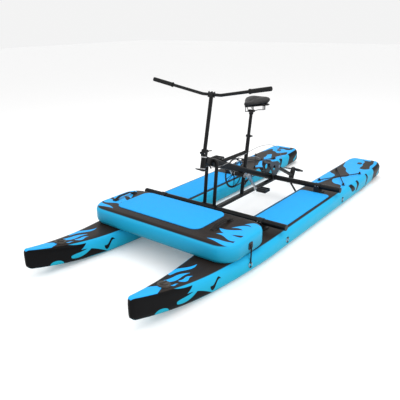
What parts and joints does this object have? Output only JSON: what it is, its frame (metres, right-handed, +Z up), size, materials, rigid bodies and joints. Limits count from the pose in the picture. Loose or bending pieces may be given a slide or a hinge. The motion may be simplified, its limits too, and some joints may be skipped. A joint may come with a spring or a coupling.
{
  "type": "pedal boat",
  "caption": "Inflatable catamaran pedal boat: two pontoons, a fore platform and a bicycle-style frame whose cranks drive a tilting, cable-steered propeller leg.",
  "frame": {"origin": "midway along the pontoons, on the centreline, level with their flat bottoms", "axes": "+X towards the bow, +Y to port, +Z up"},
  "size_m": [3.8, 1.478, 1.2581],
  "materials": {
    "pontoon_skin": "satin",
    "deck_foam": "matte",
    "black_alloy": "satin",
    "bare_alloy": "satin",
    "steel": "satin",
    "black_steel": "satin",
    "black_plastic": "matte",
    "webbing": "matte",
    "bungee_cord": "matte",
    "grip_rubber": "matte",
    "saddle_cover": "satin",
    "cable_housing": "satin"
  },
  "bodies": {
    "boat": {"port_pontoon": "pontoon_skin", "starboard_pontoon": "pontoon_skin", "deck_pads": "deck_foam", "pontoon_valves": "black_plastic", "ring_patches": "black_plastic", "side_rings": "steel", "bungee_anchors": "black_plastic", "deck_bungees": "bungee_cord", "platform": "pontoon_skin", "platform_pad": "deck_foam", "platform_handles": "webbing", "platform_ties": "webbing", "crossbars": "black_alloy", "crossbar_plugs": "black_plastic", "crossbar_feet": "black_alloy", "crossbar_straps": "black_plastic", "frame_bolts": "steel", "side_braces": "black_alloy", "centre_rail": "black_alloy", "frame_clamps": "black_alloy", "main_beam": "black_alloy", "front_legs": "black_alloy", "head_tube": "black_alloy", "seat_tube": "black_alloy", "upper_tube": "black_alloy", "bottom_bracket_shell": "black_alloy", "frame_bearings": "steel", "chain": "steel", "drive_bracket": "bare_alloy", "seat_collar": "black_alloy", "control_cables": "cable_housing", "cable_clips": "black_plastic"},
    "steering": {"steerer_tube": "black_alloy", "steering_arm": "black_alloy", "post_hinge_pin": "steel"},
    "handlepost": {"handlepost": "black_alloy", "handlebar": "black_alloy", "bar_clamp_cap": "black_alloy", "grips": "grip_rubber"},
    "post_latch": {"post_latch_lever": "black_steel"},
    "seat": {"seatpost": "black_alloy", "saddle_pad": "saddle_cover", "saddle_shell": "black_plastic", "saddle_frame": "steel"},
    "seat_lever": {"seat_collar_lever": "black_steel"},
    "crankset": {"crank_spindle": "steel", "chainring": "black_alloy", "crank_arms": "bare_alloy", "pedal_axles": "steel"},
    "port_pedal": {"port_pedal": "black_plastic"},
    "starboard_pedal": {"starboard_pedal": "black_plastic"},
    "drive_input": {"drive_sprocket": "steel", "input_shaft": "steel"},
    "gear_head": {"gear_head": "black_alloy"},
    "leg": {"drive_leg": "black_alloy", "gear_pod": "black_alloy", "leg_bearings": "steel"},
    "leg_shaft": {"leg_shaft": "steel"},
    "propeller": {"propeller_shaft": "steel", "propeller": "black_plastic"}
  },
  "joints": [
    {"name": "bar_steer", "type": "hinge", "parent": "boat", "child": "steering", "pos_m": [0.5305, 0, 0.575], "axis": [-0.2164, 0, 0.9763], "range_deg": [-35, 35]},
    {"name": "post_fold", "type": "hinge", "parent": "steering", "child": "handlepost", "pos_m": [0.53019, 0, 0.70112], "axis": [0, 1, 0], "range_deg": [0, 120]},
    {"name": "post_latch_open", "type": "hinge", "parent": "handlepost", "child": "post_latch", "pos_m": [0.47006, 0, 0.70439], "axis": [0, 1, 0], "range_deg": [0, 95]},
    {"name": "seat_height", "type": "slide", "parent": "boat", "child": "seat", "axis": [-0.1822, 0, 0.9833], "range_m": [-0.12, 0.05]},
    {"name": "seat_lever_open", "type": "hinge", "parent": "boat", "child": "seat_lever", "pos_m": [-0.18966, 0, 0.704], "axis": [0, 1, 0], "range_deg": [-100, 0]},
    {"name": "crank_spin", "type": "hinge", "parent": "boat", "child": "crankset", "pos_m": [-0.035, 0, 0.375], "axis": [0, 1, 0], "continuous": true},
    {"name": "port_pedal_spin", "type": "hinge", "parent": "crankset", "child": "port_pedal", "pos_m": [-0.15772, 0, 0.22346], "axis": [0, 1, 0], "continuous": true},
    {"name": "starboard_pedal_spin", "type": "hinge", "parent": "crankset", "child": "starboard_pedal", "pos_m": [0.08772, 0, 0.52654], "axis": [0, 1, 0], "continuous": true},
    {"name": "sprocket_spin", "type": "hinge", "parent": "boat", "child": "drive_input", "pos_m": [-0.68, 0, 0.3], "axis": [0, 1, 0], "continuous": true},
    {"name": "leg_tilt", "type": "hinge", "parent": "boat", "child": "gear_head", "pos_m": [-0.68, 0, 0.3], "axis": [0, 1, 0], "range_deg": [-55, 15]},
    {"name": "leg_steer", "type": "hinge", "parent": "gear_head", "child": "leg", "pos_m": [-0.68, 0, 0.3], "axis": [-0.8838, 0, -0.4679], "range_deg": [-35, 35]},
    {"name": "shaft_spin", "type": "hinge", "parent": "gear_head", "child": "leg_shaft", "pos_m": [-0.68, 0, 0.3], "axis": [-0.8838, 0, -0.4679], "continuous": true},
    {"name": "propeller_spin", "type": "hinge", "parent": "leg", "child": "propeller", "pos_m": [-1.06179, 0, 0.09785], "axis": [-0.4679, 0, 0.8838], "continuous": true}
  ],
  "couplings": [
    {"joint": "sprocket_spin", "follows": "crank_spin", "ratio": 4},
    {"joint": "shaft_spin", "follows": "crank_spin", "ratio": 4},
    {"joint": "propeller_spin", "follows": "crank_spin", "ratio": 4},
    {"joint": "leg_steer", "follows": "bar_steer", "ratio": 1}
  ]
}
